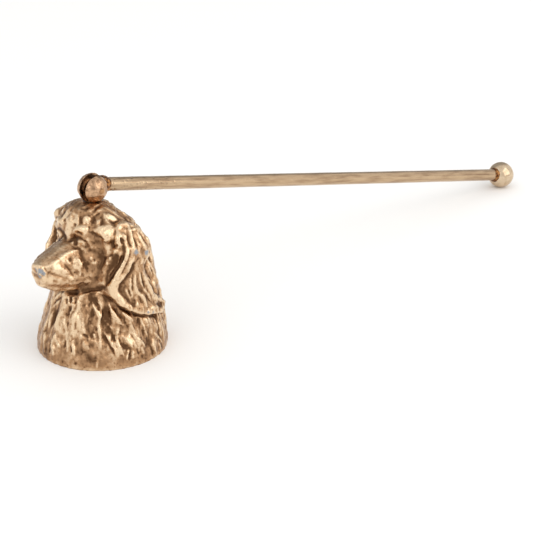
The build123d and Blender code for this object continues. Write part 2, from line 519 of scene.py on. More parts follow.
# Broad locks of the ruff and the hollows between them
RUFF_FORMS = as_seen(
    soft(2.4, 0.5, (64, 312), (60, 322), (60, 333)),
    soft(2.4, 0.55, (72, 312), (78, 320), (82, 328)),
    soft(1.8, 0.3, (66, 340), (72, 348)),
    soft(1.4, 0.4, (84, 341), (84, 350)),
    soft(0.9, 0.6, (98, 311), (99.5, 322), (99.5, 336)),
    soft(1.4, -0.8, (95, 307), (91, 318), (89, 328), (93, 338)),
    soft(1.6, -0.6, (95, 300), (92, 304)),
    soft(1.6, -0.85, (107, 304), (106, 315), (108, 326), (114, 334)),
    soft(1.2, 0.6, (112, 311), (116, 318), (120, 322)),
    soft(1.9, 0.35, (124, 314), (130, 320), (136, 326)),
    soft(1.8, 0.5, (124, 337), (130, 341), (140, 342)),
    soft(1.3, 0.5, (119, 346), (123, 354)),
    soft(1.2, -0.55, (148, 322), (150, 335), (149, 346)),
    soft(1.5, 0.35, (155, 320), (158, 332)),
    soft(0.9, -0.6, (58, 309), (54, 318), (51, 327)),
    soft(1, -0.45, (77, 333), (76, 345), (78, 355)),
    soft(1.4, -0.4, (92, 360)),
)

# Details of the face
FACE_DETAILS = (
    # Bridge edge, creases between the flews, wrinkles in them
    crisp(0.45, 0.35, (45, 268), (51, 265), (57, 261.3), (62, 257.5), (67, 253.5), (73, 251),
          (79.5, 250)),
    crisp(0.45, -0.35, (46, 271), (51, 273.5), (57, 275.5), (63, 277.5), (69, 279.5)),
    crisp(0.5, -0.55, (64.5, 264), (67, 267), (70, 270.5), (72, 274), (74, 278.5)),
    crisp(0.55, -0.7, (80, 249), (81, 254), (83, 259.5), (85.5, 265.5), (87, 272)),
    crisp(0.35, -0.25, (76, 261), (79, 264.5), (82, 269)),
    crisp(0.45, -0.2, (71, 256), (72, 262), (74, 267)),
    soft(0.4, -0.15, (66, 256), (64.5, 260)),
    soft(0.45, -0.25, (74, 272), (78, 274.5)),
    soft(0.4, 0.25, (63, 268.5), (67, 272.5)),
    soft(0.45, 0.25, (57, 266), (61, 265.5)),
    crisp(0.38, -0.3, (59, 270), (62, 273.5)),
    soft(0.42, 0.3, (67, 260), (69.5, 264)),
    crisp(0.36, -0.3, (69.5, 257.5), (70, 261.5)),
    soft(0.4, 0.35, (73, 264), (75.5, 269)),
    soft(0.42, 0.3, (78.5, 258), (80, 262)),
    soft(0.4, 0.35, (78, 268), (80.5, 272), (80, 276)),
    soft(0.4, -0.3, (82, 273), (83.5, 277)),
    soft(0.42, 0.3, (69, 276.5), (74, 279.5)),
    soft(0.45, -0.22, (62, 279), (66, 281)),
    soft(0.5, -0.2, (54, 280), (58, 283)),
    soft(0.5, 0.22, (70, 283), (73, 286)),
    soft(0.5, -0.22, (88, 276), (92, 280)),
    soft(0.45, 0.2, (50, 277), (53, 279)),
    # Nose pad, nostrils, lips
    soft(0.5, 0.22, (34, 266.5), (38, 266), (42, 268), (44, 271)),
    crisp(0.45, -0.4, (44, 267.5), (46, 271)),
    soft(0.5, -0.6, (41.5, 274), (43.5, 276)),
    crisp(0.4, -0.35, (46, 274.5), (49, 272.5)),
    crisp(0.32, -0.35, (38, 286), (43, 287.2), (48, 288.2)),
    crisp(0.32, -0.6, (76, 285.5), (80, 284.5), (84.5, 283.3)),
    # Eye: upper lid's shadow, inner corner, ball, slit, lower lid
    crisp(0.45, -0.6, (71, 239.5), (75, 239.5), (79, 237), (85, 238.3)),
    crisp(0.45, -0.45, (75.3, 240), (75.8, 245)),
    soft(0.6, 0.35, (72.5, 243)),
    soft(0.4, 0.18, (78.3, 241), (78.5, 247)),
    soft(1.05, 0.5, (78, 243), (82, 244), (86, 244.5)),
    soft(1.1, 0.4, (80, 247.5), (84.5, 248), (89, 247)),
    crisp(0.42, -1.15, (78.5, 239.3), (82, 240), (86.5, 242)),
    crisp(0.45, -0.35, (72, 246), (76, 248.5), (80, 250)),
    soft(0.45, 0.25, (80, 248), (84, 249.3), (89, 248.5), (93, 246)),
    soft(0.45, 0.2, (86, 239), (91, 239.5), (95, 242)),
    # Dark crease under the big brow and the edges of the square one
    crisp(0.5, -0.8, (88, 231.7), (92.7, 233), (98, 237), (104, 240)),
    crisp(0.45, -0.5, (89.3, 226), (89, 231)),
    crisp(0.45, -0.6, (75, 232), (79, 233), (82, 235.5)),
    crisp(0.45, -0.4, (62.5, 229), (64, 234), (65.5, 240)),
    # Locks that lie back from the forehead under the ball
    crisp(0.42, -0.35, (62, 208), (68, 203.5), (75, 199.5)),
    crisp(0.42, 0.28, (66, 209.5), (73, 204), (80, 199.5)),
    crisp(0.4, -0.28, (70, 211), (77, 206), (83, 203)),
    crisp(0.45, -0.5, (90, 213), (95, 209.5), (101, 205)),
    crisp(0.42, 0.25, (91.5, 216.5), (97, 212.5), (103, 207.5)),
    soft(0.55, 0.4, (94, 207), (99, 203.5)),
    crisp(0.45, -0.32, (103, 203.5), (112, 208.5), (121, 213)),
    crisp(0.42, 0.32, (103, 206.5), (111, 211.5), (119, 216)),
    crisp(0.42, 0.25, (108, 202.5), (117, 208), (127, 214)),
    crisp(0.42, -0.32, (120, 214), (127, 220), (133, 228)),
    crisp(0.42, 0.32, (124, 213), (131, 220), (137, 229)),
    crisp(0.42, 0.25, (117, 217), (123, 221), (129, 226)),
    soft(0.45, -0.35, (80, 208), (85, 209.5), (90, 207)),
    # Edges and hollows of the forehead's tufts
    crisp(0.45, 0.2, (67.8, 216), (68, 222), (70.5, 227)),
    crisp(0.45, 0.22, (77.5, 214), (78, 220), (77, 226)),
    soft(0.5, -0.5, (73.5, 223), (75.5, 226)),
    soft(0.45, -0.35, (72.5, 215), (73.5, 220)),
    crisp(0.42, -0.35, (79.6, 216), (79.6, 225)),
    soft(0.55, -0.4, (84.5, 222), (87, 224.5)),
    crisp(0.45, 0.35, (82, 218), (87, 217), (91, 219.5)),
    crisp(0.45, -0.48, (91.5, 226), (93, 219), (96.5, 214.5), (101, 211.5)),
    crisp(0.42, 0.45, (104, 212), (104.5, 217), (107, 222), (111, 224.5)),
    crisp(0.42, 0.45, (107, 212.5), (111, 215.5), (117, 219)),
    crisp(0.4, -0.55, (108.5, 218.5), (113, 222), (118, 221)),
    soft(0.42, -0.28, (102, 213), (102.3, 221), (100, 226)),
    crisp(0.42, -0.5, (114.7, 224), (115.2, 230), (114.5, 237)),
    soft(0.5, 0.35, (117, 225), (121, 227.5)),
    soft(0.4, -0.25, (103.5, 229), (102, 234)),
    # Cheek: lumps, curl of hair and the rough edge of the channel
    soft(0.5, 0.35, (84, 251.5), (87.5, 252)),
    soft(0.5, 0.4, (90, 258.5), (92, 258)),
    soft(0.55, 0.45, (92, 263), (97, 262)),
    soft(0.35, -0.4, (93.5, 259.5), (95, 261)),
    soft(0.5, -0.3, (88, 262), (88.5, 266)),
    soft(0.38, 0.45, (114.5, 245), (115.5, 242.8), (118, 242.5), (119.3, 245), (118, 248)),
    soft(0.4, -0.4, (117, 245.3)),
    soft(0.6, 0.5, (113, 252), (116.5, 251.5)),
    soft(0.5, 0.4, (109, 257.5), (111.5, 258.5)),
    soft(0.5, 0.35, (106.5, 262), (107.5, 265)),
    soft(0.4, -0.4, (113, 255.5), (109.5, 255)),
    soft(0.35, -0.3, (101.8, 272.3)),
    # Parting flash that runs down the channel
    crisp(0.38, 0.75, (121, 246.5), (122, 252), (119.5, 257), (118, 264), (113, 269), (109.5, 274),
          (108.5, 281), (108, 287)),
)

# Details of the ear
EAR_DETAILS = (
    # Crest along the margin's upper part, and the thin valley behind it
    crisp(0.42, 0.6, (124, 242), (127.3, 247.5), (127.6, 253), (125, 260), (122, 266),
          (118.5, 271.5), (115, 277.5)),
    crisp(0.42, -0.5, (130.5, 250), (130, 256), (127.5, 262.5), (124, 270), (119.5, 277.5)),
    soft(0.6, 0.3, (134.5, 257), (131, 264), (128.5, 271), (123.5, 278), (118, 284)),
    # Line between the margin and the leaf
    crisp(0.48, -0.6, (138.5, 258.5), (133.5, 264.5), (130.5, 273), (126, 279), (121, 285),
          (120, 290), (122.5, 295), (126, 298.5)),
    soft(0.4, -0.3, (126, 298.5), (131, 303), (136, 307)),
    # Strands from the root
    crisp(0.5, 0.75, (128.8, 226), (130.5, 234), (132.5, 241), (134, 248)),
    soft(0.8, 0.45, (133, 228), (134.5, 231)),
    soft(0.5, -0.6, (127, 228), (128.5, 238), (131, 247)),
    crisp(0.42, -0.6, (133.5, 238), (136.8, 244), (138.5, 251)),
    soft(0.45, 0.45, (122.5, 233), (125.5, 240)),
    soft(0.5, -0.5, (120.5, 237), (124, 244)),
    soft(0.7, 0.55, (137.5, 233), (141, 240), (144, 246), (146, 250)),
    crisp(0.38, -0.55, (139.5, 232.5), (145, 239.5), (148.3, 246)),
    soft(0.6, 0.45, (145.5, 237), (149, 243.5)),
    soft(0.4, 0.3, (143.5, 258), (140.5, 264)),
    soft(0.45, -0.25, (148, 256), (146, 262)),
    # Strands that fan out over the leaf
    crisp(0.38, -0.5, (133, 274), (132.4, 284), (132, 292)),
    soft(0.45, 0.45, (131, 280), (130.5, 290), (132, 299)),
    soft(0.5, 0.6, (135, 276), (134.5, 285), (137.5, 291.5), (142, 296), (145, 301), (147, 307)),
    soft(0.45, 0.4, (125, 288), (128, 295), (131, 300)),
    soft(0.38, -0.35, (129, 289), (131, 297)),
    crisp(0.4, -0.5, (141, 273), (142.5, 283), (145, 290)),
    crisp(0.45, 0.7, (142.5, 272), (146, 280), (149, 287), (152, 293.5), (156, 298.5), (161, 301.5),
          (166, 303.5)),
    soft(0.45, 0.5, (139.5, 272), (141, 282), (144, 289), (148, 295), (151, 301)),
    soft(0.45, 0.45, (147, 265), (150, 271), (152, 276.5)),
    crisp(0.38, -0.45, (145.5, 269), (149, 275.5), (151.5, 280)),
    crisp(0.38, -0.5, (134.5, 299), (136, 304.5)),
    crisp(0.38, -0.4, (140, 298), (142.5, 303)),
    crisp(0.38, -0.3, (138, 290), (141.5, 294)),
    crisp(0.4, -0.4, (145.5, 293), (149, 299), (153, 304)),
    soft(0.4, 0.3, (137, 302), (138.5, 306)),
    soft(0.6, 0.4, (151, 308), (158, 307.5)),
    crisp(0.4, -0.5, (155, 297.5), (160, 301.5), (164, 304)),
    # Shadow line under the ear
    soft(0.5, -0.6, (111, 299), (117, 304.5), (125, 309.5), (135, 313.7), (145, 316), (155, 315.5),
         (162, 313)),
)

# Details of the ruff
RUFF_DETAILS = as_seen(
    # Edges and strands of the locks
    crisp(0.45, 0.55, (92.3, 301), (94, 306.5), (97.5, 312), (99.5, 318), (98.8, 327), (100.3, 335),
          (100, 342), (101, 347)),
    crisp(0.42, 0.5, (98.8, 300), (101, 307), (101.3, 314), (99.8, 319)),
    crisp(0.4, -0.5, (96.5, 303), (99, 310)),
    crisp(0.55, 0.6, (109, 304), (112, 310), (115.5, 316), (119, 321), (122.5, 325)),
    crisp(0.42, -0.55, (113.5, 308), (118, 314.5), (122, 318)),
    soft(0.55, 0.4, (121.5, 311), (126, 315), (132, 320)),
    crisp(0.48, 0.6, (104, 332), (107, 335.5), (110, 341), (112.5, 346), (116, 350), (118, 356.5)),
    crisp(0.42, -0.45, (103.5, 336), (108, 343), (112, 349.5), (114.5, 355)),
    soft(0.7, -0.5, (112.5, 334), (114.5, 342)),
    crisp(0.48, 0.55, (115.5, 338), (118, 344), (120.5, 350), (124, 355.5)),
    crisp(0.42, -0.55, (119, 338.5), (122, 344.5), (126, 349)),
    crisp(0.5, 0.45, (123, 336), (128, 341), (133, 347.5)),
    crisp(0.5, 0.45, (133, 333), (138, 338.5), (143, 344), (145.5, 348)),
    crisp(0.4, -0.4, (130.5, 334), (135.5, 341), (138, 346.5)),
    crisp(0.38, 0.4, (128.5, 349), (127, 360)),
    crisp(0.35, -0.35, (130, 351), (129.5, 360.5)),
    crisp(0.38, 0.3, (133, 351), (133, 359)),
    crisp(0.38, 0.35, (141, 347), (144, 354)),
    crisp(0.38, -0.3, (137, 348), (139, 355)),
    crisp(0.42, 0.5, (154, 333), (158, 338), (162.5, 343)),
    crisp(0.42, 0.4, (152, 341), (154.5, 349), (156, 356)),
    crisp(0.45, 0.4, (158, 342), (160.5, 350)),
    crisp(0.38, -0.4, (151, 346), (153, 356)),
    crisp(0.42, 0.45, (157, 320), (160, 328), (161.5, 335)),
    crisp(0.4, 0.35, (146, 319), (148, 327)),
    crisp(0.4, -0.3, (138, 318), (140.5, 325)),
    crisp(0.4, -0.3, (132, 322), (136, 330)),
    crisp(0.42, 0.35, (142, 322), (145, 331), (148, 338)),
    crisp(0.4, -0.3, (125, 321), (128, 329)),
    # Notches in the collar below the jaw, and the collar's upper lip
    crisp(0.4, -0.65, (66.5, 298), (66.5, 304)),
    crisp(0.36, -0.5, (70.7, 297), (70.5, 302.5)),
    crisp(0.4, -0.6, (75, 297), (74.8, 304)),
    crisp(0.36, 0.35, (68.5, 297), (68.8, 304)),
    crisp(0.36, 0.4, (72.8, 297), (72.8, 306)),
    soft(0.5, 0.35, (78, 298), (78.5, 305)),
    soft(0.6, -0.35, (68.5, 306), (71, 311)),
    crisp(0.45, 0.4, (84, 295), (91, 292.5), (99, 292.3), (106, 295)),
    crisp(0.38, 0.4, (55, 299), (62, 293)),
    crisp(0.38, -0.4, (54, 303), (61, 297)),
    crisp(0.45, 0.3, (52, 308), (60, 300)),
    # Strands of the breast
    crisp(0.45, 0.45, (53, 312), (50, 319), (49, 327)),
    crisp(0.42, 0.35, (48, 318), (45, 327), (43, 335)),
    crisp(0.42, 0.4, (46, 332), (44.5, 342), (45, 352)),
    crisp(0.42, 0.4, (56, 333), (52.5, 341), (51, 349)),
    crisp(0.42, 0.45, (53, 346), (53.5, 356)),
    crisp(0.38, -0.4, (50, 343), (49, 353)),
    soft(0.55, 0.4, (57, 342), (60, 347)),
    crisp(0.36, -0.5, (64.8, 341), (64.3, 347.5)),
    crisp(0.42, 0.4, (68, 340), (67.5, 352)),
    crisp(0.42, -0.55, (70.5, 346), (71, 352.5)),
    crisp(0.42, 0.45, (73.5, 345), (74.5, 356)),
    crisp(0.36, -0.3, (75, 322), (75.5, 330)),
    soft(0.42, -0.25, (68, 320), (67, 332)),
    soft(0.45, -0.4, (82, 334), (88, 337.5)),
    soft(0.5, 0.3, (83, 322), (84, 333)),
    crisp(0.36, 0.4, (94, 333), (95.5, 338)),
    crisp(0.36, -0.35, (94, 326), (97, 331)),
    crisp(0.36, 0.3, (97.8, 361), (96.7, 368)),
    soft(0.5, -0.25, (75, 362), (76, 365)),
    soft(0.55, 0.35, (107, 323), (112, 328)),
    soft(0.5, 0.3, (119, 328), (117, 334)),
)

# What is drawn before the hair and after it, and how hard the tool is pressed
BROAD_WORK = ((FORMS, 1.0), (RUFF_FORMS, 0.65))
FINE_WORK = ((FACE_DETAILS, 0.60), (EAR_DETAILS, 0.80), (RUFF_DETAILS, 1.05))

SWELLS = (
    # Where the ears leave the skull
    Swell((13.4, -6.0, 37.6), 2.2, 0.7),
    Swell((12.6, -4.8, 34.6), 2.7, 1.5),
    Swell((15.2, -3.6, 33.5), 2.2, 0.9),
    Swell((13.0, -5.8, 37.2), 2.0, 1.1),
    Swell((11.8, -5.8, 31.6), 2.5, 1.1),
    # The chin's underside
    Swell((0.0, -22.6, 29.4), 1.6, -0.35),
)

# Patina with painted light: brown left in the low places and on the top, partly painted shade, and
# gilding wiped bright on the high ones, partly painted highlights where they face the lamps; as
# spread in mm, brown that is added, route in pixels
PATINA_AND_PAINTED_LIGHT = (
    # Crown and skull stay brown, partly painted shade on the top that faces up; painted shade in
    # the crease between two tufts
    soft(2.4, 0.16, (70, 205), (85, 206), (100, 206), (113, 208)),
    soft(2, 0.12, (122, 214), (135, 224), (146, 236)),
    soft(1.3, 0.14, (92, 214), (96, 225)),
    soft(3.4, 0.18, (60, 216), (72, 214), (84, 216), (96, 221), (108, 223), (118, 222)),
    soft(3.2, 0.12, (90, 254), (96, 260), (103, 268)),
    soft(0.4, 0.25, (79.5, 215), (79.5, 225)),
    # Patina deepened into painted shade round the eye, in its lid creases and under its upper lid,
    # in the temple's hollow, behind the flews, below the jaw and in the channel; a painted
    # highlight on the eye
    soft(1, 0.08, (72, 234), (80, 233)),
    soft(1.8, 0.12, (76, 237), (84, 239), (92, 242), (98, 240)),
    soft(0.8, 0.06, (72, 241), (78, 238), (85, 240)),
    soft(1.5, 0.08, (84, 242), (90, 243.5)),
    soft(1.1, 0.1, (87, 235.5), (93, 237), (99, 238)),
    flat(0.65, -0.2, (79, 241.5), (80.5, 246)),
    soft(0.42, 0.6, (76.5, 236.5), (80, 238), (85.5, 241.3)),
    soft(0.38, 0.5, (70.5, 239.8), (74, 239)),
    soft(0.34, 0.45, (75.2, 240), (75.8, 246)),
    soft(0.36, 0.45, (76, 247.5), (79.5, 250), (80, 254)),
    soft(0.9, 0.22, (82, 251), (84, 262), (88, 273)),
    soft(1.1, 0.35, (60, 292), (75, 292.5), (90, 291), (103, 288)),
    soft(1.5, 0.42, (122, 240), (124, 250), (120, 260), (113, 270), (108, 280), (106, 290)),
    soft(1.3, 0.3, (117, 253), (114, 260), (110, 268)),
    soft(3.2, 0.12, (88, 262), (96, 268), (94, 279)),
    soft(2.2, 0.1, (75, 281), (84, 282)),
    # Brows and tufts wiped bright, partly painted highlights where they face the lamps; a painted
    # highlight on the crown under the ball, and painted highlights on the eye
    flat(1.3, -0.46, (98, 230), (104, 229), (111, 228), (109, 236), (104, 236)),
    flat(0.7, -0.36, (92, 230.5), (98, 231.5)),
    flat(1, -0.52, (76, 228.5), (84, 228.5), (85, 234)),
    flat(0.95, -0.46, (67, 222), (67.5, 238)),
    *as_seen(flat(1.3, -0.85, (55, 223), (63, 222.5))),
    flat(1.1, -0.46, (71.5, 218), (75, 216), (75, 222), (73, 227)),
    flat(0.95, -0.4, (83.5, 221), (89.5, 220.5)),
    flat(0.7, -0.26, (97, 219), (98, 222)),
    flat(0.7, -0.4, (93, 203), (98, 203.5), (104, 204.5)),
    flat(1.05, -0.44, (106, 214), (111, 218), (116.5, 219.5)),
    flat(0.8, -0.34, (119, 226), (122, 227.5)),
    flat(0.45, -0.26, (77.5, 240), (78.5, 247)),
    flat(0.4, -0.2, (72.5, 243)),
    # Side of the muzzle and rear of the cheek wiped bright, partly painted highlights where they
    # face the lamps
    flat(0.95, -0.1, (50, 268), (58, 263.5), (64, 259), (71, 255)),
    flat(1.1, -0.18, (55, 270), (62, 272), (68, 275)),
    flat(1.1, -0.14, (75, 257), (79, 264), (83, 269)),
    flat(1.2, -0.22, (111, 243), (110.5, 250), (107, 255)),
    flat(0.75, -0.14, (92, 259), (93.5, 263)),
    flat(1.3, -0.1, (78, 262), (82, 268)),
    # Ear: brown inside the margin and over the leaf, wiped strands, and painted shadow along its
    # lower edge
    soft(0.9, 0.16, (137, 258), (131, 271), (123, 283), (123, 294), (131, 303)),
    soft(3, 0.1, (143, 262), (140, 276), (140, 292)),
    soft(3, 0.12, (154, 262), (158, 280), (160, 298)),
    soft(1.3, 0.24, (124, 304), (136, 310), (150, 312)),
    flat(0.9, -0.22, (122, 268), (116, 280), (116, 291), (121, 299)),
    flat(0.8, -0.12, (128, 230), (131, 238), (134, 247)),
    flat(0.8, -0.1, (139, 234), (143, 242), (147, 250)),
    flat(0.7, -0.12, (126, 248), (126, 257), (121, 267)),
    flat(0.9, -0.22, (133, 282), (137, 292), (144, 302)),
    flat(0.8, -0.26, (143, 275), (149, 288), (155, 298), (163, 303)),
    soft(1.2, 0.2, (157, 305), (163, 306)),
    soft(0.9, 0.3, (116, 302), (126, 310), (140, 315), (156, 316)),
    # Ruff: breast wiped bright, partly a painted highlight; brown hollows behind it and under the
    # collar's lip, partly painted shade; bright strands below the ear
    *as_seen(
        flat(2.2, -0.22, (66, 312), (64, 325), (66, 340)),
        flat(2, -0.22, (76, 312), (80, 325), (76, 340)),
        soft(1.6, 0.48, (88, 298), (98, 300)),
        soft(1.5, 0.2, (93, 306), (90, 316)),
        soft(1.5, 0.24, (93, 312), (90, 325), (92, 340), (95, 352)),
        soft(1.7, 0.3, (105, 302), (106, 318), (108, 332), (110, 345)),
        soft(0.75, 0.06, (98, 308), (99.5, 322), (100, 340)),
        flat(2, -0.14, (56, 338), (62, 348)),
        flat(1, -0.3, (111, 308), (117, 317), (123, 324)),
        flat(1.6, -0.26, (124, 331), (131, 338), (141, 343)),
        flat(0.8, -0.24, (106, 335), (112, 344), (118, 354)),
        flat(0.9, -0.24, (119, 341), (124, 352)),
        soft(2, 0.14, (125, 320), (138, 324), (150, 330)),
        soft(1.2, 0.2, (148, 330), (150, 350)),
        soft(1, 0.24, (59, 308), (55, 318), (51, 328)),
        soft(1.6, 0.16, (44, 345), (48, 358), (58, 364)),
        soft(1.8, 0.18, (75, 350), (90, 356), (104, 356)),
        soft(1.3, 0.25, (91, 358)),
        flat(1, -0.15, (67, 304), (76, 305)),
        soft(0.8, 0.2, (69, 309)),
    ),
)

# Where the gilding has worn through to the grey zinc: pixel, reach in millimetres
WORN_SPOTS = (
    ((36.5, 270), 0.75), ((40, 271.5), 0.85), ((43.5, 273.5), 0.65), ((39.5, 276), 0.75),
    ((136.2, 252.3), 0.75), ((146.8, 252.5), 0.75), ((166.3, 307.5), 0.8), ((148.2, 312.4), 0.4),
    ((153.3, 312.5), 0.4),
)


@dataclass
class DogHeadCup:
    """The cup: a gilt casting, modelled over a copy of its CAD solid.

    Attributes:
        camera: The camera that strokes are thrown from.
        grain_mm: The size of the mesh's squares.
        rim_band_mm: The plain band above the rim.
        foot_mm: The heights between which the rim's foot begins to be worked.
        hinge_reach_mm: How far from the hinge the lug and the saddle stay as they are, and
            where the clay is free.
        hollow_mm: Heights in the hollow, and the radius that everything inside it stays below.
        eye: Where the CAD's eye is eased down before it is modelled.
        muzzle_mm: How far forward the bare muzzle begins.
        chin_mm: The heights over which it begins.
        neck_mm: The heights over which the face begins.
        face_deg: How far round from the nose the face ends.
        mane_deg: How far round from the nose the mane begins.
        sway: How the locks wave sideways.
        clumps: The broad locks.
        strands: The pattern of the narrow ones.
        strand_mm: How far the narrow ones stand out.
        wisps: The finest ones.
        front_share: How much the locks show in front of the mane.
        uneven: The casting's uneven skin.
        pits: Its pits.
        ragged_mm: How ragged the patina's edges are.
        ragged_share: How ragged the worn spots are.
        rounds: How many times the copy is softened, and the fresh mesh for the details.
        eye_rounds: How many times the CAD's eye is eased.
        even_tone: The patina's depth on an even surface.
        fine_tone: The reach of fine hollows, and how brown they are by the millimetre.
        broad_tone: The same for broad ones.
        rim_tone: What the band above the rim adds.
        tones: The palest and the brownest.
        inside_tone: The patina's depth in the hollow, which ends below the crown.
        crown_mm: The crown's height.
    """

    camera: ShotCamera
    grain_mm: float = 0.35
    rim_band_mm: float = 2.6
    foot_mm: Range = (0.15, 0.9)
    hinge_reach_mm: Range = (4.75, 4.75 + 0.85)
    hollow_mm: tuple[tuple[float, float], ...] = (
        (0.0, 16.4), (4.0, 16.2), (8.0, 14.9), (16.5, 12.4), (22.6, 10.2), (27.5, 7.4), (31.0, 3.5))
    eye: Stroke = flat(2.6, 1.0, (74, 242), (80, 243.5), (86, 244.5), (93, 245))
    muzzle_mm: Range = (9.0, 12.5)
    chin_mm: Range = (20, 23)
    neck_mm: Range = (19, 22)
    face_deg: Range = (88, 105)
    mane_deg: Range = (100, 125)
    sway: Grain = Grain((7.0, 7.0, 9.0), 3.1, 1.3)
    clumps: Grain = Grain((3.4, 3.4, 11.0), 11.7, 0.50)
    strands: Grain = Grain((1.5, 1.5, 6.5), 27.3)
    strand_mm: float = 0.42
    wisps: Grain = Grain((0.95, 0.95, 4.5), 41.9, 0.19)
    front_share: float = 0.24
    uneven: Grain = Grain((1.9, 1.9, 1.9), 61.2, 0.09)
    pits: Grain = Grain((0.85, 0.85, 0.85), 77.7, 0.05)
    ragged_mm: Grain = Grain((1.1, 1.1, 1.1), 5.9, 0.35)
    ragged_share: Grain = Grain((0.6, 0.6, 0.6), 13.4, 0.35)
    rounds: tuple[int, int] = (14, 1)
    eye_rounds: int = 110
    even_tone: float = 0.5
    fine_tone: tuple[int, float] = (4, 2.6)
    broad_tone: tuple[int, float] = (45, 0.45)
    rim_tone: float = 0.16
    tones: Range = (0.08, 1.0)
    inside_tone: float = 0.6
    crown_mm: float = 40.0

    def free_share(self, places: np.ndarray) -> np.ndarray:
        """Tell how freely each corner may be worked.

        Args:
            places: The corners, in millimetres.

        Returns:
            A share for each corner, from 0 in the hollow, on the rim and at the hinge to 1.
        """
        height = places[:, 2]
        heights, radii = zip(*self.hollow_mm)
        ring = np.hypot(places[:, 0], places[:, 1])
        inside = (ring < np.interp(height, heights, radii)) & (height < heights[-1])
        apart = np.linalg.norm(places - np.array(HINGE_M) / MM, axis=1)
        free = smooth_step(apart, *self.hinge_reach_mm) * smooth_step(height, *self.foot_mm)
        return np.where(inside, 0.0, free)

    def cast(self, pixels: tuple[Pixel, ...], surface: BVHTree) -> list[np.ndarray]:
        """Throw pixels of the photograph on to the clay.

        Args:
            pixels: The pixels.
            surface: The clay's surface, in metres.

        Returns:
            The places that they meet, in millimetres.
        """
        start = Vector(self.camera.place_mm) * MM
        hits = (surface.ray_cast(start, self.camera.sight(*pixel))[0] for pixel in pixels)
        return [np.array(hit) / MM for hit in hits if hit is not None]

    @staticmethod
    def nearness(places: np.ndarray, route: list[np.ndarray], stroke: Stroke) -> np.ndarray:
        """Tell how strongly a stroke works on each corner along one route.

        Args:
            places: The corners, in millimetres.
            route: The stroke's route, in millimetres.
            stroke: The stroke, for its width and its tip.

        Returns:
            A strength for each corner, from 0 to 1.
        """
        result = np.zeros(len(places))
        margin = 3 * stroke.width_mm
        low, high = np.min(route, axis=0) - margin, np.max(route, axis=0) + margin
        close = np.where(np.all((places > low) & (places < high), axis=1))[0]
        near = places[close]
        best = np.linalg.norm(near - route[0], axis=1)
        along = np.zeros(len(near))
        gone = 0.0
        for start, end in zip(route, route[1:]):
            length = max(float(np.linalg.norm(end - start)), 1e-6)
            way = (end - start) / length
            step = np.clip((near - start) @ way, 0, length)
            gap = np.linalg.norm(near - start - step[:, None] * way, axis=1)
            closer = gap < best
            best[closer] = gap[closer]
            along[closer] = gone + step[closer]
            gone += length
        # The tool is pressed less over the first and last fifth of its stroke
        share = along / gone if gone else np.full(len(near), 0.5)
        press = 0.4 + 0.6 * np.clip(np.minimum(share, 1 - share) * 5, 0, 1)
        result[close] = np.exp(-(best / (stroke.width_mm * press)) ** stroke.tool.value) * press
        return result

    def felt(self, clay: Clay, strokes: tuple[Stroke, ...], pressure: float = 1.0,
             ragged: np.ndarray | float = 0.0) -> np.ndarray:
        """Add up what strokes do to each corner, all measured on the clay as it stands.

        Args:
            clay: The clay.
            strokes: The strokes.
            pressure: How hard the tool is pressed, as a share of the strokes' amounts.
            ragged: How far each corner is taken to lie aside, in millimetres.

        Returns:
            The sum for each corner.
        """
        places, surface = clay.places + ragged, clay.surface()
        amount = np.zeros(len(places))
        for stroke in strokes:
            route = self.cast(stroke.pixels, surface)
            if not route:
                LOG.warning("a stroke at %s misses the clay", stroke.pixels[0])
                continue
            strength = self.nearness(places, route, stroke)
            if stroke.side is Side.BOTH:
                turned = [place * np.array((-1, 1, 1)) for place in route]
                strength = np.maximum(strength, self.nearness(places, turned, stroke))
            amount += strength * stroke.amount * pressure
        return amount

    def swellings(self, places: np.ndarray) -> np.ndarray:
        """Add up the soft swellings on both sides of the dog.

        Args:
            places: The corners, in millimetres.

        Returns:
            How far each corner stands out, in millimetres.
        """
        amount = np.zeros(len(places))
        for swell in SWELLS:
            for side in (1, -1):
                place = np.array(swell.place_mm) * np.array((side, 1, 1))
                gap = np.linalg.norm(places - place, axis=1)
                amount += np.exp(-(gap / swell.reach_mm) ** 2) * swell.height_mm
        return amount

    @staticmethod
    def turn_deg(places: np.ndarray) -> np.ndarray:
        """Give how far round from the nose each corner lies, in degrees."""
        return np.degrees(np.arctan2(np.abs(places[:, 0]), -places[:, 1]))

    def hairy(self, places: np.ndarray) -> np.ndarray:
        """Tell how hairy the dog is: bare on the muzzle and the rim, faint on the face.

        Args:
            places: The corners, in millimetres.

        Returns:
            A share for each corner, from 0 to 1.
        """
        height = places[:, 2]
        muzzle = smooth_step(-places[:, 1], *self.muzzle_mm) * smooth_step(height, *self.chin_mm)
        face = smooth_step(height, *self.neck_mm)
        face *= 1 - smooth_step(self.turn_deg(places), *self.face_deg)
        rim = 0.15 + 0.85 * smooth_step(height, self.rim_band_mm, self.rim_band_mm + 4)
        return (1 - 0.85 * face) * (1 - muzzle) * rim

    def hair(self, places: np.ndarray) -> np.ndarray:
        """Comb the locks: strong on the mane and the back of the head, faint elsewhere.

        Args:
            places: The corners, in millimetres.

        Returns:
            How far each corner stands out, in millimetres.
        """
        back = smooth_step(self.turn_deg(places), *self.mane_deg)
        swaying = places + self.sway.over(places)[:, None] * np.array((1, 1, 0))
        crests = self.strand_mm * (0.5 - np.abs(self.strands.over(swaying))) * 2
        locks = self.clumps.over(swaying) + crests
        locks *= self.front_share + (1 - self.front_share) * back
        return (locks + self.wisps.over(swaying)) * self.hairy(places)

    def patina(self, clay: Clay, recess: np.ndarray) -> np.ndarray:
        """Tell how brown each corner is, from 0 where it shines to 1, with the rubs' painted shade
        and painted highlights in it.

        Args:
            clay: The clay.
            recess: What the depth of each corner adds.

        Returns:
            The patina's depth for each corner, with the painted shade and highlights.
        """
